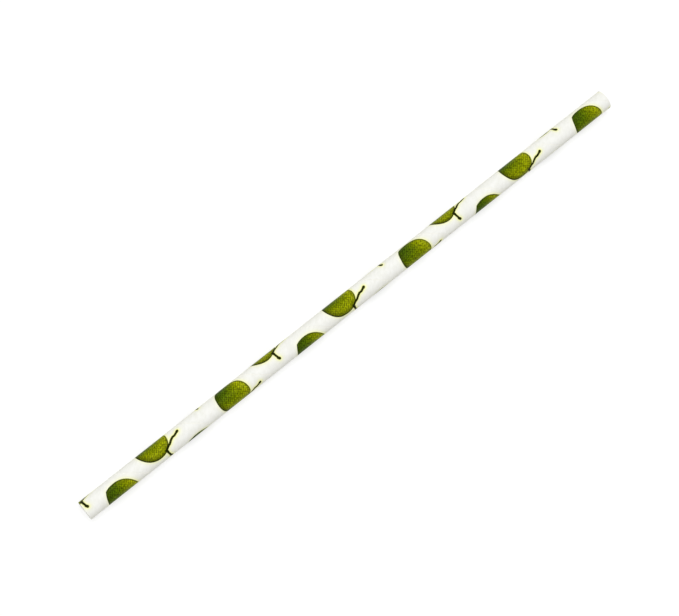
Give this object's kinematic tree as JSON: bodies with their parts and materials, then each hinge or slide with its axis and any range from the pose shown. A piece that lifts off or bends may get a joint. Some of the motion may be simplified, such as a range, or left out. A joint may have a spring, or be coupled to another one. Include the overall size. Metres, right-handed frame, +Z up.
{
  "type": "paper drinking straw",
  "caption": "Straight spiral-wound paper drinking straw, cut square at both ends, with a fine winding seam and an open bore.",
  "frame": {"origin": "on the surface that the straw lies on, under the middle of its length", "axes": "+X along the straw's axis, +Z up"},
  "size_m": [0.197, 0.006, 0.006],
  "materials": {
    "printed_paper": "smooth white paper with a slight sheen, printed with round green fruit on short dark twigs"
  },
  "bodies": {
    "root": {"straw": "printed_paper"}
  },
  "joints": []
}
